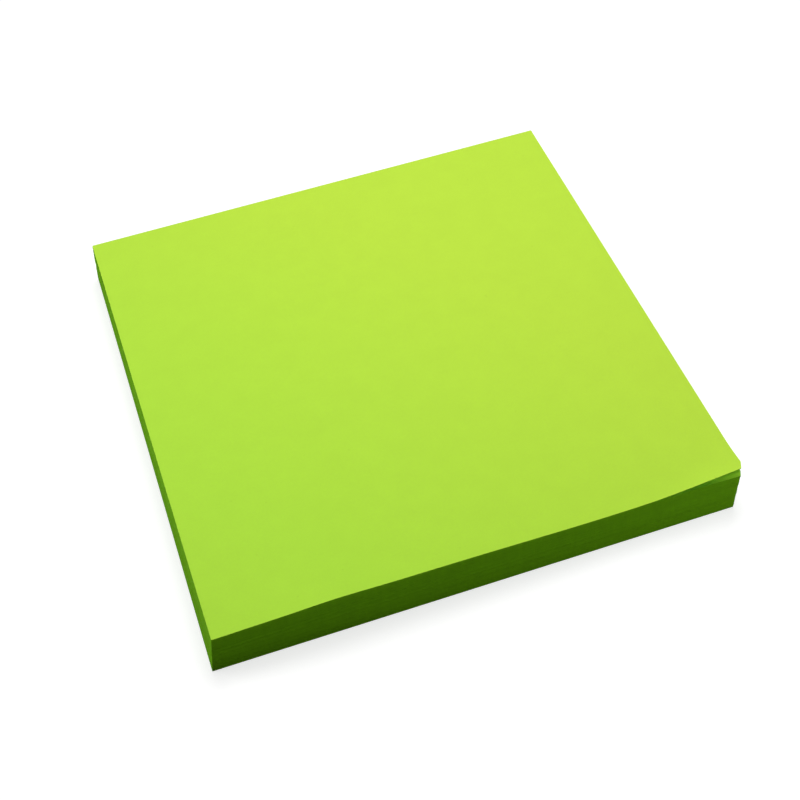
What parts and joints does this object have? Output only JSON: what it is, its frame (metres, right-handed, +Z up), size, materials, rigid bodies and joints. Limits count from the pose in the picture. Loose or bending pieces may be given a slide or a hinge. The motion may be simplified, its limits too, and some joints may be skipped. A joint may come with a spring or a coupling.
{
  "type": "sticky note pad",
  "caption": "Square pad of bright lime green sticky notes on a backing sheet of the same green, glued along the far edge, with the near right corner of the top note curled up.",
  "frame": {"origin": "centre of the underside of the backing sheet", "axes": "+Z up through the pile of notes, +Y towards the glued edge, +X towards the right edge when the free edge is near"},
  "size_m": [0.0768, 0.0766, 0.0082],
  "materials": {
    "lime_note_paper": "matte",
    "low_tack_adhesive": "satin",
    "coated_backing_paper": "satin"
  },
  "bodies": {
    "root": {"note_sheets": "lime_note_paper", "adhesive_strip": "low_tack_adhesive", "backing_sheet": "coated_backing_paper"}
  },
  "joints": []
}
